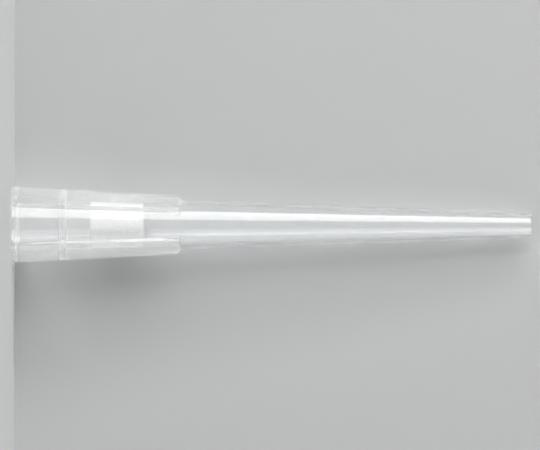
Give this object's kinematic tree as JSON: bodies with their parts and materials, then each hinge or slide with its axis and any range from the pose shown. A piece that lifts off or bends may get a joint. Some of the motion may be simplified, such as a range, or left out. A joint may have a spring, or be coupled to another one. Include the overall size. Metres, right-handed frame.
{
  "type": "filter pipette tip",
  "caption": "Straight tapered wide-bore pipette tip in translucent plastic, with a thick collar that has a thinner window in front and behind, and a porous filter plug in its bore.",
  "frame": {"origin": "centre of the mouth's end face, which the tip stands on", "axes": "+Z along the bore axis, from the mouth towards the orifice"},
  "size_m": [0.0074, 0.007, 0.05],
  "materials": {
    "polypropylene": "natural translucent, moulded gloss",
    "porous_polyethylene": "white sintered, open pores"
  },
  "bodies": {
    "root": {"tip_body": "polypropylene", "filter_plug": "porous_polyethylene"}
  },
  "joints": []
}
